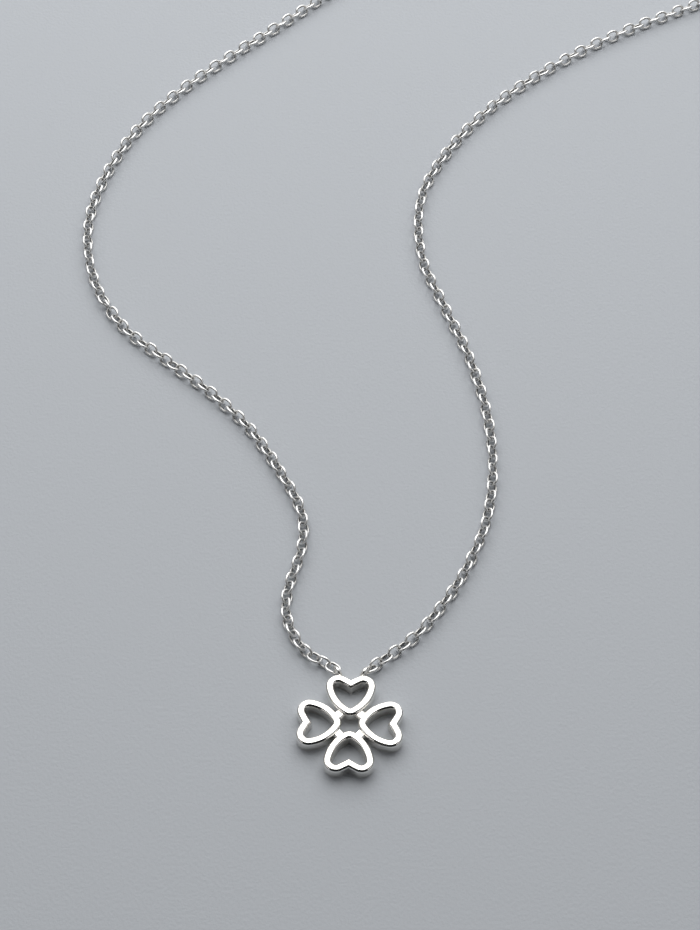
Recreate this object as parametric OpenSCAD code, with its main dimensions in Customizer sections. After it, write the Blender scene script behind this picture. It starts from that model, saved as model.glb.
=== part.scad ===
// A four leaf clover pendant on a fine cable chain, in polished silver, as it lies
// on a flat surface. Four open hearts point to the middle, where short bars join
// them into one casting. The chain holds to an eye at each lobe of the upper heart,
// and a plain barrel clasp closes the loop. X is to the clover's right, Y from the
// clover towards the clasp and Z up. The origin is on the surface, in the middle
// of the rectangle that the whole necklace covers.

/* [Hearts] */
// Length of a heart, from its outer tip to the top of its lobes
heart_len = 5.16; // [4.9:0.02:6]
// Width of a heart across both lobes
heart_w = 5.82; // [5.6:0.02:6.2]
// Distance between the tips of two opposite hearts
tip_gap = 1.9; // [1.7:0.02:2.4]
// Width of the metal that forms a heart's outline
frame_w = 0.96; // [0.8:0.02:1.1]
// Thickness of the hearts, from the flat back to the polished top
thick = 1.7; // [1.5:0.1:2.5]
// Distance from a heart's middle line to the top of each lobe
lobe_x = 1.45; // [1.3:0.05:1.6]
// Angle by which each lobe's round reaches past its top, towards the cleft
lobe_over = 26; // [18:1:30]
// Outer radius of the flank between a lobe's round and the cleft
flank_r = 10; // [8:0.5:20]
// Outer radius of a heart's long sides
side_r = 4.7; // [4.4:0.1:8]
// Inner radius at a heart's tip
tip_in_r = 0.22; // [0.1:0.02:0.4]
// Radius of the rounded upper edges
edge_r = 0.3; // [0.2:0.02:0.36]

/* [Joining bars] */
// Distance from the clover's centre to the middle of a bar
bar_at = 1.75; // [1.6:0.05:2.1]
// Width of a bar along the line from the centre
bar_w = 1.15; // [0.8:0.05:1.3]
// Distance from the hearts' top down to a bar's top
bar_drop = 0.34; // [0.2:0.02:0.7]

/* [Eyes] */
// Thickness of an eye's wire
eye_wire = 0.46; // [0.4:0.01:0.48]
// Inner diameter of an eye
eye_hole = 0.84; // [0.8:0.02:0.88]
// Distance from the metal's wall to an eye's centre
eye_out = 0.61; // [0.56:0.01:0.64]
// Height of an eye's centre above the surface
eye_z = 0.89; // [0.88:0.01:0.96]
// Angle round a lobe from its top outward to its eye
eye_lean = 3; // [0:1:8]
// Angle by which an eye's plane is turned further outward
eye_twist = 32; // [24:1:36]

/* [Chain] */
// Outer length of a link
link_len = 2.06; // [2.02:0.01:2.14]
// Outer width of a link
link_w = 1.7; // [1.66:0.01:1.78]
// Thickness of a link's wire
link_wire = 0.34; // [0.3:0.01:0.36]
// Clearance between two pieces that meet
gap = 0.06; // [0.04:0.01:0.08]

/* [Clasp] */
// Length of the clasp's barrel
clasp_len = 7; // [6:0.1:9]
// Diameter of the barrel
clasp_d = 1.9; // [1.7:0.1:2.4]
// Diameter of the barrel's flat ends
clasp_end_d = 1.2; // [1:0.1:1.4]
// Length of the cone towards each flat end
clasp_cone = 0.8; // [0.5:0.1:1.5]

/* [Hidden] */
silver = [0.86, 0.86, 0.87];

// Routes of the two strands on the surface, seen from the clover's centre, each
// from the clover to the clasp. The photo shows them up to a Y of 113.
left_route = [
    [-5.5, 10], [-7.4, 14], [-7.3, 18], [-5.8, 23.5], [-5.9, 28.5], [-8.4, 34], [-12.4, 40.5],
    [-17.5, 46], [-22.9, 50.6], [-28.9, 56], [-33, 63], [-34.5, 71], [-33.5, 78.5], [-30, 87],
    [-25, 94], [-18.5, 100.5], [-11, 107], [-3, 114], [4.5, 120.5], [12, 127.5], [19.5, 134],
    [27, 141], [34, 147.5], [41, 154], [47.5, 160], [53, 164.5], [56.5, 166.8]
];
right_route = [
    [7.5, 11.4], [11.1, 15.9], [14.1, 21], [16.6, 27.5], [17.6, 35], [17.1, 43], [15.1, 51.5],
    [12.1, 59.5], [9.6, 66.5], [9.1, 74], [10.5, 80], [14.5, 87], [20, 93.5], [25.9, 98.6],
    [32.9, 103.6], [40, 107.6], [46, 110.5], [53.5, 114], [62, 118], [71, 122.5], [79, 126.5],
    [85.5, 132.5], [89.5, 141], [89.5, 150.5], [86, 158], [81, 164.5], [75, 168.2]
];
// Place of the clasp's middle and its turn on the surface
clasp_at = [65, 168];
clasp_turn = 5;
// Turn of the clover, and the turn and lean of the link that leaves each of its eyes
clover_turn = -1.5;
link_turn = [147, 25];
link_lean = [20, -40];

// Steps of a heart's arcs: flank, lobe, side and tip, and of its rounded edges
arc_steps = [2, 14, 6, 5];
edge_steps = 3;
// A strand's tube has this many rings of this many corners
tube_rings = 40;
tube_sides = 8;
round_fn = 96;
wire_fn = 48;

// Half of a heart is a chain of arcs: flank, lobe, side and tip. Its frame has the
// tip at the origin and the lobes towards +Y.
lobe_r = heart_w / 2 - lobe_x;
lobe_c = [lobe_x, heart_len - lobe_r];
flank_c = lobe_c - (flank_r - lobe_r) * compass(90 + lobe_over);
tip_r = tip_in_r + frame_w;
tip_c = [0, tip_r];
// The side's arc touches the lobe's and the tip's from outside
span = norm(tip_c - lobe_c);
span_dir = (tip_c - lobe_c) / span;
to_lobe = side_r - lobe_r;
to_tip = side_r - tip_r;
along = (to_lobe * to_lobe - to_tip * to_tip + span * span) / (2 * span);
aside = sqrt(to_lobe * to_lobe - along * along);
side_c = lobe_c + along * span_dir + aside * [span_dir[1], -span_dir[0]];
lobe_end = heading(lobe_c - side_c);
side_end = heading(tip_c - side_c);
// Cross-section of the metal that forms a heart, as distances in from its outline
// and heights, from the inner wall over the rounded top to the outer wall
profile = concat(
    [[frame_w, 0]],
    [for (i = [0 : edge_steps]) [frame_w - edge_r, thick - edge_r] + edge_r * compass(90 * i / edge_steps)],
    [for (i = [0 : edge_steps]) [edge_r, thick - edge_r] + edge_r * compass(90 + 90 * i / edge_steps)],
    [[0, 0]]
);

// A bar reaches from the diagonal to the middle of the metal on both sides
bar_mid = bar_at * compass(45);
bar_up = compass(135);
from_side = bar_mid - side_c - [0, tip_gap / 2];
reach = from_side * bar_up;
wall_at = -reach - sqrt(reach * reach - from_side * from_side + side_r * side_r);
bar_half = wall_at + frame_w / 2;

// A link hooks round an eye's outer wire, and takes a third of the play it has there
eye_r = (eye_hole + eye_wire) / 2;
bow_r = (link_w - link_wire) / 2;
link_reach = link_len - link_wire;
play = bow_r - (link_wire + eye_wire) / 2;
hook = play / 3 + (link_len - link_w) / 2;
// Links lean 45 degrees to either side, so this is how high the chain stands
chain_h = 2 * bow_r * sin(45) + link_wire;
chain_z = chain_h / 2;

// Places and turns of the two eyes, and the middles of the links that hook round them.
// One link is held up by the eye's lower wire and the other leans on the surface.
eye_side = [90 + eye_lean + clover_turn, 90 - eye_lean + clover_turn];
eye_turn = eye_side + [eye_twist, -eye_twist];
lobe_at = [for (s = [-1, 1]) turned([s * lobe_c[0], lobe_c[1] + tip_gap / 2], clover_turn)];
eye_at = [for (s = [0, 1]) lobe_at[s] + (lobe_r + eye_out) * compass(eye_side[s])];
link_at = [for (s = [0, 1]) eye_at[s] + eye_r * compass(eye_turn[s]) + hook * compass(link_turn[s])];
held_z = eye_z - (eye_hole - link_wire) / 2 + gap;
link_z = [held_z, bow_r * sin(abs(link_lean[1])) + link_wire / 2];
clasp_reach = clasp_len / 2 + eye_out + eye_r + hook;
clasp_link_at = [for (s = [-1, 1]) clasp_at + s * clasp_reach * compass(clasp_turn)];

// A strand's tube starts and ends just past those links
past_link = link_len / 2 + gap;
tube_start = [for (s = [0, 1]) link_at[s] + past_link * compass(link_turn[s])];
tube_end = [for (s = [-1, 1]) clasp_at + s * (clasp_reach + past_link) * compass(clasp_turn)];

left_path = concat([tube_start[0]], left_route, [tube_end[0]]);
right_path = concat([tube_start[1]], right_route, [tube_end[1]]);
left_points = tube_points(left_path);
right_points = tube_points(right_path);

// Middle of the rectangle that the necklace covers, seen from the clover's centre
plan_x = [for (p = concat(left_points, right_points)) p[0]];
plan_y = [for (p = concat(left_points, right_points)) p[1]];
clover_low = turned([-lobe_c[0], -lobe_c[1] - tip_gap / 2], -abs(clover_turn))[1] - lobe_r;
middle = [(min(plan_x) + max(plan_x)) / 2, (clover_low + max(plan_y)) / 2];

function compass(a) = [cos(a), sin(a)];
function heading(v) = atan2(v[1], v[0]);
function turned(p, a) = [p[0] * cos(a) - p[1] * sin(a), p[0] * sin(a) + p[1] * cos(a)];

// Corners of a heart's outline, a distance inside it, clockwise from the cleft
function arc(centre, r, start, end, steps) =
    [for (i = [0 : steps - 1]) centre + r * compass(start + (end - start) * i / steps)];
function half_outline(inside) = concat(
    arc(flank_c, flank_r - inside, acos(-flank_c[0] / (flank_r - inside)), 90 + lobe_over, arc_steps[0]),
    arc(lobe_c, lobe_r - inside, 90 + lobe_over, lobe_end, arc_steps[1]),
    arc(side_c, side_r - inside, lobe_end, side_end, arc_steps[2]),
    arc(tip_c, tip_r - inside, side_end, -90, arc_steps[3]),
    [[0, inside]]
);
function outline(inside) =
    let (half = half_outline(inside))
    concat(half, [for (i = [len(half) - 2 : -1 : 1]) [-half[i][0], half[i][1]]]);

// Point of a smooth curve through the points of a path, at t spans from its start
function neighbour(path, i) =
    i < 0 ? 2 * path[0] - path[1] :
    i >= len(path) ? 2 * path[len(path) - 1] - path[len(path) - 2] :
    path[i];
function on_path(path, t) =
    let (i = min(floor(t), len(path) - 2), u = t - i,
         a = neighbour(path, i - 1), b = path[i], c = path[i + 1], d = neighbour(path, i + 2))
    (2 * b + (c - a) * u + (2 * a - 5 * b + 4 * c - d) * u * u
        + (3 * b - a - 3 * c + d) * u * u * u) / 2;
function path_turn(path, t) =
    let (last = len(path) - 1)
    heading(on_path(path, min(t + 0.01, last)) - on_path(path, max(t - 0.01, 0)));

// Corners of a strand's tube, ring by ring, with a flat side down on the surface
function tube_points(path) =
    let (corner_r = chain_z / cos(180 / tube_sides), step = (len(path) - 1) / (tube_rings - 1))
    [for (i = [0 : tube_rings - 1]) let (p = on_path(path, i * step), turn = path_turn(path, i * step))
        for (j = [0 : tube_sides - 1]) let (a = (j + 0.5) * 360 / tube_sides)
            [p[0] + corner_r * cos(a) * sin(turn), p[1] - corner_r * cos(a) * cos(turn),
             chain_z + corner_r * sin(a)]];

// Open heart, swept round its outline, with its tip at the origin
module heart() {
    rows = [for (p = profile) [for (q = outline(p[0])) [q[0], q[1], p[1]]]];
    stations = len(rows[0]);
    count = len(rows) * stations;
    walls = [for (j = [0 : len(rows) - 1], i = [0 : stations - 1])
        let (row = j * stations, up = (row + stations) % count, next = (i + 1) % stations)
        [row + i, up + i, up + next, row + next]];
    polyhedron([for (row = rows, p = row) p], walls);
}

module bar() {
    translate([bar_at - bar_w / 2, -bar_half, 0]) cube([bar_w, 2 * bar_half, thick - bar_drop]);
}

// Ring of wire that stands upright, in a plane that holds its X axis
module eye() {
    rotate([90, 0, 0]) rotate_extrude($fn = round_fn) translate([eye_r, 0]) circle(d = eye_wire, $fn = wire_fn);
}

// Oval link that lies flat, with its middle at the origin and its length along X
module link() {
    for (s = [0, 180]) rotate([0, 0, s]) {
        translate([link_reach / 2 - bow_r, 0, 0]) rotate([0, 0, -90])
            rotate_extrude(angle = 180, $fn = round_fn) translate([bow_r, 0]) circle(d = link_wire, $fn = wire_fn);
        translate([bow_r - link_reach / 2, bow_r, 0]) rotate([0, 90, 0])
            cylinder(d = link_wire, h = link_reach - 2 * bow_r, $fn = wire_fn);
    }
}

// Tube that holds the place of a strand's fine links
module strand(points) {
    rings = len(points) / tube_sides;
    sides = [for (i = [0 : rings - 2], j = [0 : tube_sides - 1])
        let (k = (j + 1) % tube_sides)
        [i * tube_sides + j, i * tube_sides + k, (i + 1) * tube_sides + k, (i + 1) * tube_sides + j]];
    start_cap = [for (j = [tube_sides - 1 : -1 : 0]) j];
    end_cap = [for (j = [0 : tube_sides - 1]) (rings - 1) * tube_sides + j];
    polyhedron(points, concat(sides, [start_cap, end_cap]));
}

// Moves a piece from the clover's frame to the necklace's
module laid() {
    translate([-middle[0], -middle[1], 0]) children();
}

module clover() {
    color(silver) laid() {
        rotate([0, 0, clover_turn]) for (k = [0 : 3]) rotate([0, 0, 90 * k]) {
            translate([0, tip_gap / 2, 0]) heart();
            rotate([0, 0, 45]) bar();
        }
        for (s = [0, 1]) {
            translate([eye_at[s][0], eye_at[s][1], eye_z]) rotate([0, 0, eye_turn[s]]) eye();
        }
    }
}

module clover_link(s) {
    color(silver) laid() translate([link_at[s][0], link_at[s][1], link_z[s]])
        rotate([0, 0, link_turn[s]]) rotate([link_lean[s], 0, 0]) link();
}

module clasp_link(s) {
    color(silver) laid() translate([clasp_link_at[s][0], clasp_link_at[s][1], held_z])
        rotate([0, 0, clasp_turn]) link();
}

module chain(points) {
    color(silver) laid() strand(points);
}

module clasp() {
    half = clasp_len / 2;
    color(silver) laid() translate([clasp_at[0], clasp_at[1], 0]) rotate([0, 0, clasp_turn]) {
        translate([0, 0, clasp_d / 2]) rotate([0, 90, 0]) rotate_extrude($fn = round_fn) polygon([
            [0, -half], [clasp_end_d / 2, -half], [clasp_d / 2, clasp_cone - half],
            [clasp_d / 2, half - clasp_cone], [clasp_end_d / 2, half], [0, half]
        ]);
        for (s = [-1, 1]) translate([s * (half + eye_out), 0, eye_z]) eye();
    }
}

clover();
clover_link(0);  // clover_link_left
clover_link(1);  // clover_link_right
chain(left_points);  // chain_left
chain(right_points);  // chain_right
clasp_link(0);  // clasp_link_left
clasp_link(1);  // clasp_link_right
clasp();
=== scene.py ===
import math
import random

import bmesh
import bpy
import numpy as np
from mathutils import Matrix, Vector


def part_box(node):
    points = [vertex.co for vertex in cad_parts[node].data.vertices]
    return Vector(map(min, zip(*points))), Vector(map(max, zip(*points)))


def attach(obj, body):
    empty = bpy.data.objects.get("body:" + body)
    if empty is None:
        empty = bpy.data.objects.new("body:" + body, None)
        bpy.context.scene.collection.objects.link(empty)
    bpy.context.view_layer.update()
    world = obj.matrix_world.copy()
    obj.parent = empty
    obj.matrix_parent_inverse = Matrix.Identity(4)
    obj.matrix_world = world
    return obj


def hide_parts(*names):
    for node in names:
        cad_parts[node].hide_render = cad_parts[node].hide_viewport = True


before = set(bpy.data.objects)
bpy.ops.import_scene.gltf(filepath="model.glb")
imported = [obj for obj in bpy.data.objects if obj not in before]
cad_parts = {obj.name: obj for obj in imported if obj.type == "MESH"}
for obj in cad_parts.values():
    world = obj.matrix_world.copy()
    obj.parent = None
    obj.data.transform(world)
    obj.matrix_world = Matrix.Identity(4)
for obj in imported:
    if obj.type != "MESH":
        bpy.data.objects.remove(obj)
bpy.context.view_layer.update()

# The clover. Four open hearts and the four short bars that join them are one casting
# in sterling silver, with two wire eyes soldered to the lobes of the upper heart. The
# tops are flat and polished by hand, which softly rounds every upper edge.
mm = 0.001
heart_length = 5.16
heart_width = 5.82
tip_gap = 1.9
frame_width = 0.96
thickness = 1.7
lobe_x = 1.45
lobe_over = 26
flank_radius = 10.0
side_radius = 4.7
tip_inner_radius = 0.22
edge_radius = 0.3
bar_at = 1.75
bar_width = 1.15
bar_length = 1.46
bar_top = 1.36
bar_edge = 0.26
eye_wire = 0.46
eye_radius = 0.65
eye_height = 0.89
eye_out = 0.61
eye_lean = 3
eye_twist = 32
clover_turn = -1.5


def compass(degrees):
    """The direction on the surface at an angle from +X."""
    turn = math.radians(degrees)
    return Vector((math.cos(turn), math.sin(turn), 0))


def heading(vector):
    return math.degrees(math.atan2(vector.y, vector.x))


lobe_radius = heart_width / 2 - lobe_x
lobe_centre = Vector((lobe_x, heart_length - lobe_radius, 0))
flank_centre = lobe_centre - (flank_radius - lobe_radius) * compass(90 + lobe_over)
tip_radius = tip_inner_radius + frame_width
tip_centre = Vector((0, tip_radius, 0))
# The long side is an arc that touches the lobe's arc and the tip's from outside
span = tip_centre - lobe_centre
to_lobe = side_radius - lobe_radius
to_tip = side_radius - tip_radius
along = (to_lobe**2 - to_tip**2 + span.length_squared) / (2 * span.length)
aside = math.sqrt(to_lobe**2 - along**2)
step = span.normalized()
side_centre = lobe_centre + along * step + aside * Vector((step.y, -step.x, 0))

clover_low, clover_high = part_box("clover")
clover_middle_x = (clover_low[0] + clover_high[0]) / 2
clover_middle_y = clover_low[1] + (clover_high[0] - clover_low[0]) / 2
clover_centre = Vector((clover_middle_x, clover_middle_y, 0))
clover_place = (
    Matrix.Translation(clover_centre)
    @ Matrix.Rotation(math.radians(clover_turn), 4, "Z")
    @ Matrix.Scale(mm, 4)
)


def spun(shape, geometry, centre, degrees, steps, axis=(0, 0, 1), **more):
    """Turns geometry about an axis through centre, and gives what ends up last."""
    made = bmesh.ops.spin(
        shape,
        geom=geometry,
        cent=centre,
        axis=axis,
        angle=math.radians(degrees),
        steps=steps,
        **more,
    )
    return made["geom_last"]


def add_heart(shape):
    """An open heart with its tip at the origin: the metal's section is turned along
    each arc of one half, cut off at the middle line and mirrored."""
    made = bmesh.ops.create_grid(shape, x_segments=1, y_segments=1, size=0.5)
    section = made["verts"]
    bmesh.ops.scale(shape, vec=(thickness, frame_width, 1), verts=section)
    bmesh.ops.rotate(shape, matrix=Matrix.Rotation(math.radians(-90), 3, "Y"), verts=section)
    bmesh.ops.translate(
        shape, vec=(lobe_x, heart_length - frame_width / 2, thickness / 2), verts=section
    )
    upper = [v for v in section if v.co.z > thickness / 2]
    bmesh.ops.bevel(
        shape, geom=upper, offset=edge_radius, segments=6, profile=0.5, affect="VERTICES", material=-1
    )
    bmesh.ops.delete(shape, geom=shape.faces[:], context="FACES_ONLY")
    section = shape.verts[:] + shape.edges[:]
    # The flank turns a degree past the middle line, where it is cut off
    to_middle = math.degrees(math.acos(-flank_centre.x / (flank_radius - frame_width)))
    flank_turn = to_middle + 1 - 90 - lobe_over
    lobe_end = heading(lobe_centre - side_centre)
    side_end = heading(tip_centre - side_centre)
    last = spun(shape, section, lobe_centre, lobe_over, 6)
    spun(shape, last, flank_centre, flank_turn, 3)
    last = spun(shape, section, lobe_centre, lobe_end - 90, 28)
    last = spun(shape, last, side_centre, side_end - lobe_end, 14)
    spun(shape, last, tip_centre, -90 - side_end, 8)
    everything = shape.verts[:] + shape.edges[:] + shape.faces[:]
    bmesh.ops.bisect_plane(
        shape, geom=everything, dist=1e-4, plane_co=(0, 0, 0), plane_no=(1, 0, 0), clear_inner=True
    )
    everything = shape.verts[:] + shape.edges[:] + shape.faces[:]
    bmesh.ops.mirror(shape, geom=everything, matrix=Matrix(), merge_dist=1e-4, axis="X")
    bmesh.ops.recalc_face_normals(shape, faces=shape.faces[:])


def add_eye(shape, at, turn):
    """An upright ring of wire, in the plane that holds its turned X axis."""
    before = set(shape.verts)
    made = bmesh.ops.create_circle(shape, segments=12, radius=eye_wire / 2)
    section = made["verts"]
    bmesh.ops.translate(shape, vec=(eye_radius, 0, 0), verts=section)
    section = section + list({e for v in section for e in v.link_edges})
    spun(shape, section, (0, 0, 0), 360, 32, axis=(0, 1, 0), use_merge=True)
    ring = [v for v in shape.verts if v not in before]
    place = Matrix.Translation(at) @ Matrix.Rotation(math.radians(turn), 4, "Z")
    bmesh.ops.transform(shape, matrix=place, verts=ring)


def joined(name, first, second):
    """Joins two closed shapes into the one solid that casting or solder makes of them."""
    parts = []
    for key, shape in (("a", first), ("b", second)):
        bmesh.ops.recalc_face_normals(shape, faces=shape.faces[:])
        mesh = bpy.data.meshes.new(name + "_" + key)
        shape.to_mesh(mesh)
        shape.free()
        part = bpy.data.objects.new(name + "_" + key, mesh)
        bpy.context.scene.collection.objects.link(part)
        parts.append(part)
    union = parts[0].modifiers.new("join", "BOOLEAN")
    union.operation = "UNION"
    union.solver = "EXACT"
    union.object = parts[1]
    whole = parts[0].evaluated_get(bpy.context.evaluated_depsgraph_get())
    shape = bmesh.new()
    shape.from_mesh(whole.to_mesh())
    for part in parts:
        bpy.data.objects.remove(part)
    return shape


crease_angle = 38


def finished(name, shape, place, *materials):
    """A finished piece at the origin, with smooth faces and crisp corners."""
    bmesh.ops.transform(shape, matrix=place, verts=shape.verts[:])
    mesh = bpy.data.meshes.new(name)
    shape.to_mesh(mesh)
    shape.free()
    mesh.shade_smooth()
    mesh.set_sharp_from_angle(angle=math.radians(crease_angle))
    for material in materials:
        mesh.materials.append(material)
    piece = bpy.data.objects.new(name, mesh)
    bpy.context.scene.collection.objects.link(piece)
    even = piece.modifiers.new("even_tops", "WEIGHTED_NORMAL")
    even.keep_sharp = True
    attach(piece, "root")
    return piece


def linear(colour):
    """The linear red, green and blue of an sRGB hex colour."""
    parts = [int(colour[i : i + 2], 16) / 255 for i in (1, 3, 5)]
    return [c / 12.92 if c <= 0.04045 else ((c + 0.055) / 1.055) ** 2.4 for c in parts] + [1]


def add_node(tree, kind, values=(), **settings):
    """Adds a node to a tree. values gives its inputs by name, as numbers or as links."""
    node = tree.nodes.new(kind)
    for key, value in settings.items():
        setattr(node, key, value)
    for key, value in dict(values).items():
        if isinstance(value, bpy.types.NodeSocket):
            tree.links.new(value, node.inputs[key])
        else:
            node.inputs[key].default_value = value
    return node


def new_material(name):
    material = bpy.data.materials.new(name)
    material.use_nodes = True
    material.node_tree.nodes.clear()
    return material, material.node_tree


# Sterling silver, cast and polished on a felt wheel. It mirrors what is round it
# almost sharply, and the wheel leaves soft waves a few millimetres long.
polished_silver, tree = new_material("polished_sterling_silver")
place = add_node(tree, "ShaderNodeTexCoord").outputs["Object"]
wave_length = 2.4 * mm
waves = add_node(tree, "ShaderNodeTexNoise", {"Vector": place, "Scale": 1 / wave_length, "Detail": 1.0})
haze_width = 0.5 * mm
haze = add_node(tree, "ShaderNodeTexNoise", {"Vector": place, "Scale": 1 / haze_width, "Detail": 3.0})
gloss = add_node(
    tree, "ShaderNodeMapRange", {"Value": haze.outputs["Fac"], "To Min": 0.07, "To Max": 0.13}
)
relief = add_node(
    tree,
    "ShaderNodeBump",
    {"Height": waves.outputs["Fac"], "Strength": 0.6, "Distance": 0.02 * mm},
)
silver = add_node(
    tree,
    "ShaderNodeBsdfPrincipled",
    {
        "Base Color": linear("#F6F4F0"),
        "Metallic": 1.0,
        "Roughness": gloss.outputs["Result"],
        "Normal": relief.outputs["Normal"],
    },
)
add_node(tree, "ShaderNodeOutputMaterial", {"Surface": silver.outputs["BSDF"]})

# The same silver on the walls inside the hearts. A wheel doesn't reach them, so they
# keep the satin of the casting.
satin_silver, tree = new_material("satin_cast_silver")
place = add_node(tree, "ShaderNodeTexCoord").outputs["Object"]
grain_width = 0.12 * mm
grain = add_node(tree, "ShaderNodeTexNoise", {"Vector": place, "Scale": 1 / grain_width, "Detail": 2.0})
gloss = add_node(
    tree, "ShaderNodeMapRange", {"Value": grain.outputs["Fac"], "To Min": 0.25, "To Max": 0.45}
)
silver = add_node(
    tree,
    "ShaderNodeBsdfPrincipled",
    {"Base Color": linear("#DEDCD8"), "Metallic": 1.0, "Roughness": gloss.outputs["Result"]},
)
add_node(tree, "ShaderNodeOutputMaterial", {"Surface": silver.outputs["BSDF"]})

casting = bmesh.new()
add_heart(casting)
bmesh.ops.translate(casting, vec=(0, tip_gap / 2, 0), verts=casting.verts[:])
upper_heart = casting.verts[:] + casting.edges[:] + casting.faces[:]
spun(casting, upper_heart, (0, 0, 0), 270, 3, use_duplicate=True)

joints = bmesh.new()
bmesh.ops.create_cube(joints, size=1)
bmesh.ops.scale(joints, vec=(bar_width, bar_length, bar_top), verts=joints.verts[:])
bmesh.ops.translate(joints, vec=(bar_at, 0, bar_top / 2), verts=joints.verts[:])
top_edges = [
    e
    for e in joints.edges
    if all(v.co.z > bar_top / 2 for v in e.verts) and abs(e.verts[0].co.x - e.verts[1].co.x) < 1e-6
]
bmesh.ops.bevel(
    joints, geom=top_edges, offset=bar_edge, segments=8, profile=0.5, affect="EDGES", material=-1
)
bmesh.ops.rotate(joints, matrix=Matrix.Rotation(math.radians(45), 3, "Z"), verts=joints.verts[:])
first_bar = joints.verts[:] + joints.edges[:] + joints.faces[:]
spun(joints, first_bar, (0, 0, 0), 270, 3, use_duplicate=True)

for side in (-1, 1):
    lobe = Vector((side * lobe_x, lobe_centre.y + tip_gap / 2, eye_height))
    eye = lobe + (lobe_radius + eye_out) * compass(90 - side * eye_lean)
    add_eye(joints, eye, 90 - side * (eye_lean + eye_twist))

casting = joined("clover", casting, joints)
casting.normal_update()
# An upright face near the middle of a heart's opening, and turned to it, is satin
opening_at = 3.2
opening_reach = 2.4
tilt_limit = 0.3
for turn in (0, 90, 180, 270):
    middle = Matrix.Rotation(math.radians(turn), 3, "Z") @ Vector((0, tip_gap / 2 + opening_at, 0))
    for face in casting.faces:
        towards = (middle - face.calc_center_median()) * Vector((1, 1, 0))
        near = towards.length < opening_reach
        if near and face.normal.dot(towards) > 0 and abs(face.normal.z) < tilt_limit:
            face.material_index = 1
clover = finished("clover_casting", casting, clover_place, polished_silver, satin_silver)
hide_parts("clover")

# The chain. Drawn silver wire is cut into oval links, and each link is bent shut
# round the next and soldered. Neighbours stand square to each other, so on a flat
# surface every link leans 45 degrees, to one side and the other in turn.
link_length = 2.06
link_width = 1.7
link_wire = 0.34
bow_radius = (link_width - link_wire) / 2
straight = link_length - link_width
lying_height = bow_radius * math.sin(math.radians(45)) + link_wire / 2

# Routes of the two strands on the surface from the clover's centre, in metres
left_route = [
    (-0.0055, 0.010), (-0.0074, 0.014), (-0.0073, 0.018), (-0.0058, 0.0235), (-0.0059, 0.0285),
    (-0.0084, 0.034), (-0.0124, 0.0405), (-0.0175, 0.046), (-0.0229, 0.0506), (-0.0289, 0.056),
    (-0.033, 0.063), (-0.0345, 0.071), (-0.0335, 0.0785), (-0.030, 0.087), (-0.025, 0.094),
    (-0.0185, 0.1005), (-0.011, 0.107), (-0.003, 0.114), (0.0045, 0.1205), (0.012, 0.1275),
    (0.0195, 0.134), (0.027, 0.141), (0.034, 0.1475), (0.041, 0.154), (0.0475, 0.160),
    (0.053, 0.1645), (0.0565, 0.1668),
]
right_route = [
    (0.0075, 0.0114), (0.0111, 0.0159), (0.0141, 0.021), (0.0166, 0.0275), (0.0176, 0.035),
    (0.0171, 0.043), (0.0151, 0.0515), (0.0121, 0.0595), (0.0096, 0.0665), (0.0091, 0.074),
    (0.0105, 0.080), (0.0145, 0.087), (0.020, 0.0935), (0.0259, 0.0986), (0.0329, 0.1036),
    (0.040, 0.1076), (0.046, 0.1105), (0.0535, 0.114), (0.062, 0.118), (0.071, 0.1225),
    (0.079, 0.1265), (0.0855, 0.1325), (0.0895, 0.141), (0.0895, 0.1505), (0.086, 0.158),
    (0.081, 0.1645), (0.075, 0.1682),
]

# Sterling silver wire, drawn through a die, soldered and tumbled bright. The tumbling
# leaves it softer than a wheel does. The side of the wire that faces the inside of a link
# is painted darker, as painted shade where the links crowd round each other.
silver_wire, tree = new_material("tumbled_silver_wire")
place = add_node(tree, "ShaderNodeTexCoord").outputs["Object"]
peen_width = 0.15 * mm
peens = add_node(tree, "ShaderNodeTexNoise", {"Vector": place, "Scale": 1 / peen_width, "Detail": 2.0})
gloss = add_node(
    tree, "ShaderNodeMapRange", {"Value": peens.outputs["Fac"], "To Min": 0.26, "To Max": 0.38}
)
# Painted shade: the inside attribute darkens the wire's inner side from #F4F3F1 to #94928E
inside = add_node(tree, "ShaderNodeAttribute", attribute_name="inside").outputs["Fac"]
wire_colour_painted_shade = add_node(
    tree, "ShaderNodeMixRGB", {"Fac": inside, "Color1": linear("#F4F3F1"), "Color2": linear("#94928E")}
)
silver = add_node(
    tree,
    "ShaderNodeBsdfPrincipled",
    {"Base Color": wire_colour_painted_shade.outputs["Color"], "Metallic": 1.0, "Roughness": gloss.outputs["Result"]},
)
add_node(tree, "ShaderNodeOutputMaterial", {"Surface": silver.outputs["BSDF"]})


def link_shape(steps, sides):
    """An oval link of round wire, flat, with its middle at the origin and its length
    along X, in millimetres."""
    shape = bmesh.new()
    bmesh.ops.create_circle(shape, segments=sides, radius=link_wire / 2)
    across = Matrix.Rotation(math.radians(90), 3, "Y")
    bmesh.ops.rotate(shape, matrix=across, verts=shape.verts[:])
    bmesh.ops.translate(shape, vec=(straight / 2, -bow_radius, 0), verts=shape.verts[:])
    section = shape.verts[:] + shape.edges[:]
    spun(shape, section, (straight / 2, 0, 0), 180, steps // 2)
    bow = shape.verts[:] + shape.edges[:] + shape.faces[:]
    spun(shape, bow, (0, 0, 0), 180, 1, use_duplicate=True)
    for side in (-1, 1):
        ends = [e for e in shape.edges if e.is_boundary and e.verts[0].co.y * side > 0]
        bmesh.ops.bridge_loops(shape, edges=ends)
    bmesh.ops.recalc_face_normals(shape, faces=shape.faces[:])
    return shape


def mark_inside(mesh, corners):
    """Stores how far each corner of a link's wire faces the inside of the link, from the
    corners of the flat link in millimetres. The wire material turns this into painted shade."""
    along = np.abs(corners[:, 0]) - straight / 2
    inward = (bow_radius - np.hypot(along, corners[:, 1])) / (link_wire / 2)
    inside = mesh.attributes.new("inside", "FLOAT", "POINT")
    inside.data.foreach_set("value", np.clip(inward, 0, 1))


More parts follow.
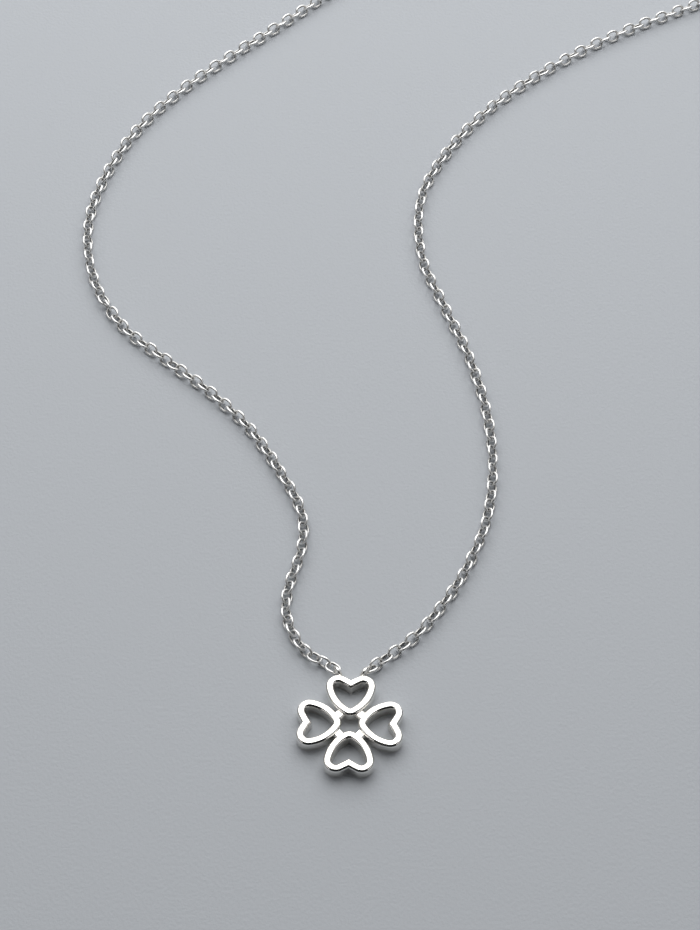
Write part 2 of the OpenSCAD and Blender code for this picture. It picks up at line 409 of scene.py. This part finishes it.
def end_link(node, turn, lean=0):
    """The separate link that holds a strand to an eye."""
    low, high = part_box(node)
    middle = (Vector(low) + Vector(high)) / 2
    place = (
        Matrix.Translation(middle)
        @ Matrix.Rotation(math.radians(turn), 4, "Z")
        @ Matrix.Rotation(math.radians(lean), 4, "X")
        @ Matrix.Scale(mm, 4)
    )
    shape = link_shape(30, 10)
    corners = np.array([v.co[:] for v in shape.verts])
    piece = finished(node + "_wire", shape, place, silver_wire)
    mark_inside(piece.data, corners)
    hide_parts(node)
    return middle


def smooth_line(points, steps=40):
    """Points close together on the smooth curve through the given ones."""
    points = [2 * points[0] - points[1]] + points + [2 * points[-1] - points[-2]]
    line = []
    for a, b, c, d in zip(points, points[1:], points[2:], points[3:]):
        square = 2 * a - 5 * b + 4 * c - d
        cube = 3 * b - a - 3 * c + d
        for u in np.arange(steps) / steps:
            line.append((2 * b + (c - a) * u + square * u**2 + cube * u**3) / 2)
    return np.array(line + [points[-2]])


def link_places(total, pitches):
    """Distances of the links along a strand. pitches gives the pitch at a few distances,
    and past the last of them the links are spread evenly to the strand's end."""
    at, pitch = zip(*pitches)
    places = [0]
    while places[-1] < total:
        places.append(places[-1] + np.interp(places[-1], at, pitch))
    places = np.array(places)
    even = places > at[-1]
    places[even] = at[-1] + (places[even] - at[-1]) * (total - at[-1]) / (places[-1] - at[-1])
    return places


# How the links lie: their lean, its spread and the spread of their turn, in degrees, the
# share of the usual height that one may sag to between its neighbours, how many take up
# an end link's lean, and the length in which a strand rolls over, in millimetres
usual_lean = 45
lean_spread = 4
turn_spread = 2
sag = 0.96
settle = 6
roll_length = 4.2


def strand(name, node, route, start, end, start_lean, pitches, seed, roll_at=None):
    """A row of links from the one in the clover's eye to the one in the clasp's."""
    chance = random.Random(seed)
    middle = np.array(clover_centre.xy)
    points = [np.array(start.xy)] + [middle + np.array(p) for p in route] + [np.array(end.xy)]
    line = smooth_line(points)
    steps = np.linalg.norm(np.diff(line, axis=0), axis=1)
    distance = np.concatenate([[0], np.cumsum(steps)])
    places = link_places(distance[-1] / mm, pitches) * mm
    count = len(places) - 1
    centres = np.array([np.interp(places, distance, line[:, k]) for k in (0, 1)]).T
    # A link leans to one side and the next to the other, first to the end link's side
    first_side = math.copysign(usual_lean, start_lean)
    last_side = first_side * (-1) ** count
    if roll_at is not None:
        last_side = -last_side

    shape = link_shape(14, 6)
    shape.verts.index_update()
    corners = np.array([v.co[:] for v in shape.verts])
    faces = np.array([[v.index for v in f.verts] for f in shape.faces])
    shape.free()
    all_corners = []
    all_faces = []
    for i in range(1, count):
        towards = centres[i + 1] - centres[i - 1]
        turn = math.atan2(towards[1], towards[0])
        # The first and last few links turn from the end links' lean to their usual one
        near_start = max(0, 1 - i / settle)
        near_end = max(0, 1 - (count - i) / settle)
        twist = (first_side - start_lean) * near_start + last_side * near_end
        lean = first_side * (-1) ** i - twist + chance.gauss(0, lean_spread)
        # Where a strand rolls over, one link stands upright, and those past it have turned
        # a quarter round the strand's line
        if roll_at is not None:
            lean += 90 * min(max((places[i] / mm - roll_at) / roll_length, 0), 1)
        leaning_height = bow_radius * abs(math.sin(math.radians(lean))) + link_wire / 2
        height = max(lying_height * sag, leaning_height)
        place = (
            Matrix.Translation((centres[i][0], centres[i][1], height * mm))
            @ Matrix.Rotation(turn + math.radians(chance.gauss(0, turn_spread)), 4, "Z")
            @ Matrix.Rotation(math.radians(lean), 4, "X")
            @ Matrix.Scale(mm, 4)
        )
        place = np.array(place)
        all_corners.append(corners @ place[:3, :3].T + place[:3, 3])
        all_faces.append(faces + len(corners) * (i - 1))
    mesh = bpy.data.meshes.new(name)
    mesh.from_pydata(np.concatenate(all_corners), [], np.concatenate(all_faces).tolist())
    mesh.shade_smooth()
    mesh.materials.append(silver_wire)
    mark_inside(mesh, np.tile(corners, (count - 1, 1)))
    piece = bpy.data.objects.new(name, mesh)
    bpy.context.scene.collection.objects.link(piece)
    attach(piece, "root")
    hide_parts(node)


clasp_turn = 5
left_turn = 147
left_lean = 20
right_turn = 25
right_lean = -40
left_start = end_link("clover_link_left", left_turn, left_lean)
right_start = end_link("clover_link_right", right_turn, right_lean)
left_end = end_link("clasp_link_left", clasp_turn)
right_end = end_link("clasp_link_right", clasp_turn)
# The chain lies loose, so its pitch changes along the way: each pair gives a distance
# from the clover's link and the pitch there, in millimetres
left_pitches = [
    (0, 1.28), (3.5, 1.28), (4, 1.1), (8, 1.1), (9, 1.17), (15, 1.18), (16, 1.21), (25, 1.2), (33, 1.23),
    (44, 1.28), (55, 1.31), (61, 1.3), (62, 1.2), (66, 1.2), (67, 1.27), (77, 1.22), (88, 1.25), (99, 1.3),
    (110, 1.33), (125, 1.3),
]
right_pitches = [
    (0, 0.93), (0.9, 1.35), (11, 1.315), (22, 1.295), (33, 1.29), (44, 1.295), (55, 1.32), (66, 1.325),
    (77, 1.295), (88, 1.31), (99, 1.36), (110, 1.36), (125, 1.32),
]
left_roll_at = 61.8
strand(
    "chain_left_links",
    "chain_left",
    left_route,
    left_start,
    left_end,
    left_lean,
    left_pitches,
    seed=3,
    roll_at=left_roll_at,
)
strand(
    "chain_right_links",
    "chain_right",
    right_route,
    right_start,
    right_end,
    right_lean,
    right_pitches,
    seed=8,
)

# The clasp. A plain barrel of silver with a wire eye soldered to each end closes the
# loop. It is turned on a lathe and polished like the clover.
clasp_length = 7.0
clasp_diameter = 1.9
clasp_end_diameter = 1.2
clasp_cone = 0.8
clasp_edge = 0.12
clasp_low, clasp_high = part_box("clasp")
clasp_middle = (Vector(clasp_low) + Vector(clasp_high)) / 2
clasp_place = (
    Matrix.Translation((clasp_middle.x, clasp_middle.y, 0))
    @ Matrix.Rotation(math.radians(clasp_turn), 4, "Z")
    @ Matrix.Scale(mm, 4)
)
barrel = bmesh.new()
half = clasp_length / 2
profile = [
    (-half, 0),
    (-half, clasp_end_diameter / 2),
    (clasp_cone - half, clasp_diameter / 2),
    (half - clasp_cone, clasp_diameter / 2),
    (half, clasp_end_diameter / 2),
    (half, 0),
]
corners = [barrel.verts.new((x, 0, r)) for x, r in profile]
for a, b in zip(corners, corners[1:]):
    barrel.edges.new((a, b))
bmesh.ops.bevel(
    barrel, geom=corners[1:5], offset=clasp_edge, segments=4, profile=0.5, affect="VERTICES", material=-1
)
spun(barrel, barrel.verts[:] + barrel.edges[:], (0, 0, 0), 360, 48, axis=(1, 0, 0), use_merge=True)
bmesh.ops.remove_doubles(barrel, verts=barrel.verts[:], dist=1e-4)
bmesh.ops.translate(barrel, vec=(0, 0, clasp_diameter / 2), verts=barrel.verts[:])
clasp_eyes = bmesh.new()
for side in (-1, 1):
    add_eye(clasp_eyes, Vector((side * (half + eye_out), 0, eye_height)), 0)
clasp = finished("clasp_barrel", joined("clasp", barrel, clasp_eyes), clasp_place, polished_silver)
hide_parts("clasp")

# The floor: a smooth sheet of pale grey card.
card_half = 2.5
card_drop = 0.01 * mm
card = bmesh.new()
bmesh.ops.create_grid(card, x_segments=1, y_segments=1, size=card_half)
bmesh.ops.translate(card, vec=(0, 0, -card_drop), verts=card.verts[:])
mesh = bpy.data.meshes.new("floor")
card.to_mesh(mesh)
card.free()
grey_card, tree = new_material("smooth_grey_card")
place = add_node(tree, "ShaderNodeTexCoord").outputs["Object"]
fibre_width = 0.4 * mm
fibres = add_node(tree, "ShaderNodeTexNoise", {"Vector": place, "Scale": 1 / fibre_width, "Detail": 3.0})
relief = add_node(
    tree, "ShaderNodeBump", {"Height": fibres.outputs["Fac"], "Strength": 0.6, "Distance": 0.07 * mm}
)
card_surface = add_node(
    tree,
    "ShaderNodeBsdfPrincipled",
    {"Base Color": linear("#B9BDC2"), "Roughness": 0.7, "Normal": relief.outputs["Normal"]},
)
add_node(tree, "ShaderNodeOutputMaterial", {"Surface": card_surface.outputs["BSDF"]})
mesh.materials.append(grey_card)
floor = bpy.data.objects.new("floor", mesh)
bpy.context.scene.collection.objects.link(floor)


# The studio: a large soft window behind the pendant, which the polished tops mirror,
# and pale walls behind and high on both sides, which show in the rounded edges. The
# side of the camera is dark.
def soft_light(name, place, target, size, brightness):
    light = bpy.data.lights.new(name, "AREA")
    light.shape = "RECTANGLE"
    light.size, light.size_y = size
    light.energy = math.pi * size[0] * size[1] * brightness
    lamp = bpy.data.objects.new(name, light)
    lamp.location = place
    lamp.rotation_euler = (Vector(target) - Vector(place)).to_track_quat("-Z", "Y").to_euler()
    lamp.visible_camera = False
    bpy.context.scene.collection.objects.link(lamp)


soft_light("window", (-0.03, 0.235, 0.375), (-0.03, -0.08, 0), (0.6, 0.54), 2.6)
soft_light("back_wall", (-0.03, 0.50, 0.12), (-0.03, -0.08, 0), (1.2, 0.24), 0.9)
soft_light("left_wall", (-0.55, -0.04, 0.46), (-0.03, -0.04, 0.44), (1.06, 0.34), 0.9)
soft_light("right_wall", (0.49, -0.04, 0.46), (-0.03, -0.04, 0.44), (1.06, 0.34), 0.9)

world = bpy.data.worlds.new("studio")
world.use_nodes = True
world.node_tree.nodes["Background"].inputs["Color"].default_value = linear("#C4C8CE")
world.node_tree.nodes["Background"].inputs["Strength"].default_value = 0.03
bpy.context.scene.world = world
bpy.context.scene.view_settings.view_transform = "Standard"

# The camera stands on the clover's side and looks down at 58 degrees. Its focal length
# is 2200 of the picture's pixels, and the picture is 930 pixels high.
focal_pixels = 2200
picture_height = 930
camera_pitch = 58.2
camera_data = bpy.data.cameras.new("camera")
camera_data.sensor_fit = "VERTICAL"
camera_data.sensor_height = 36
camera_data.lens = 36 * focal_pixels / picture_height
camera = bpy.data.objects.new("camera", camera_data)
camera.location = clover_centre + Vector((0.03, -107.48, 230.9)) * mm
camera.rotation_euler = (math.radians(90 - camera_pitch), 0, 0)
bpy.context.scene.collection.objects.link(camera)
bpy.context.scene.camera = camera
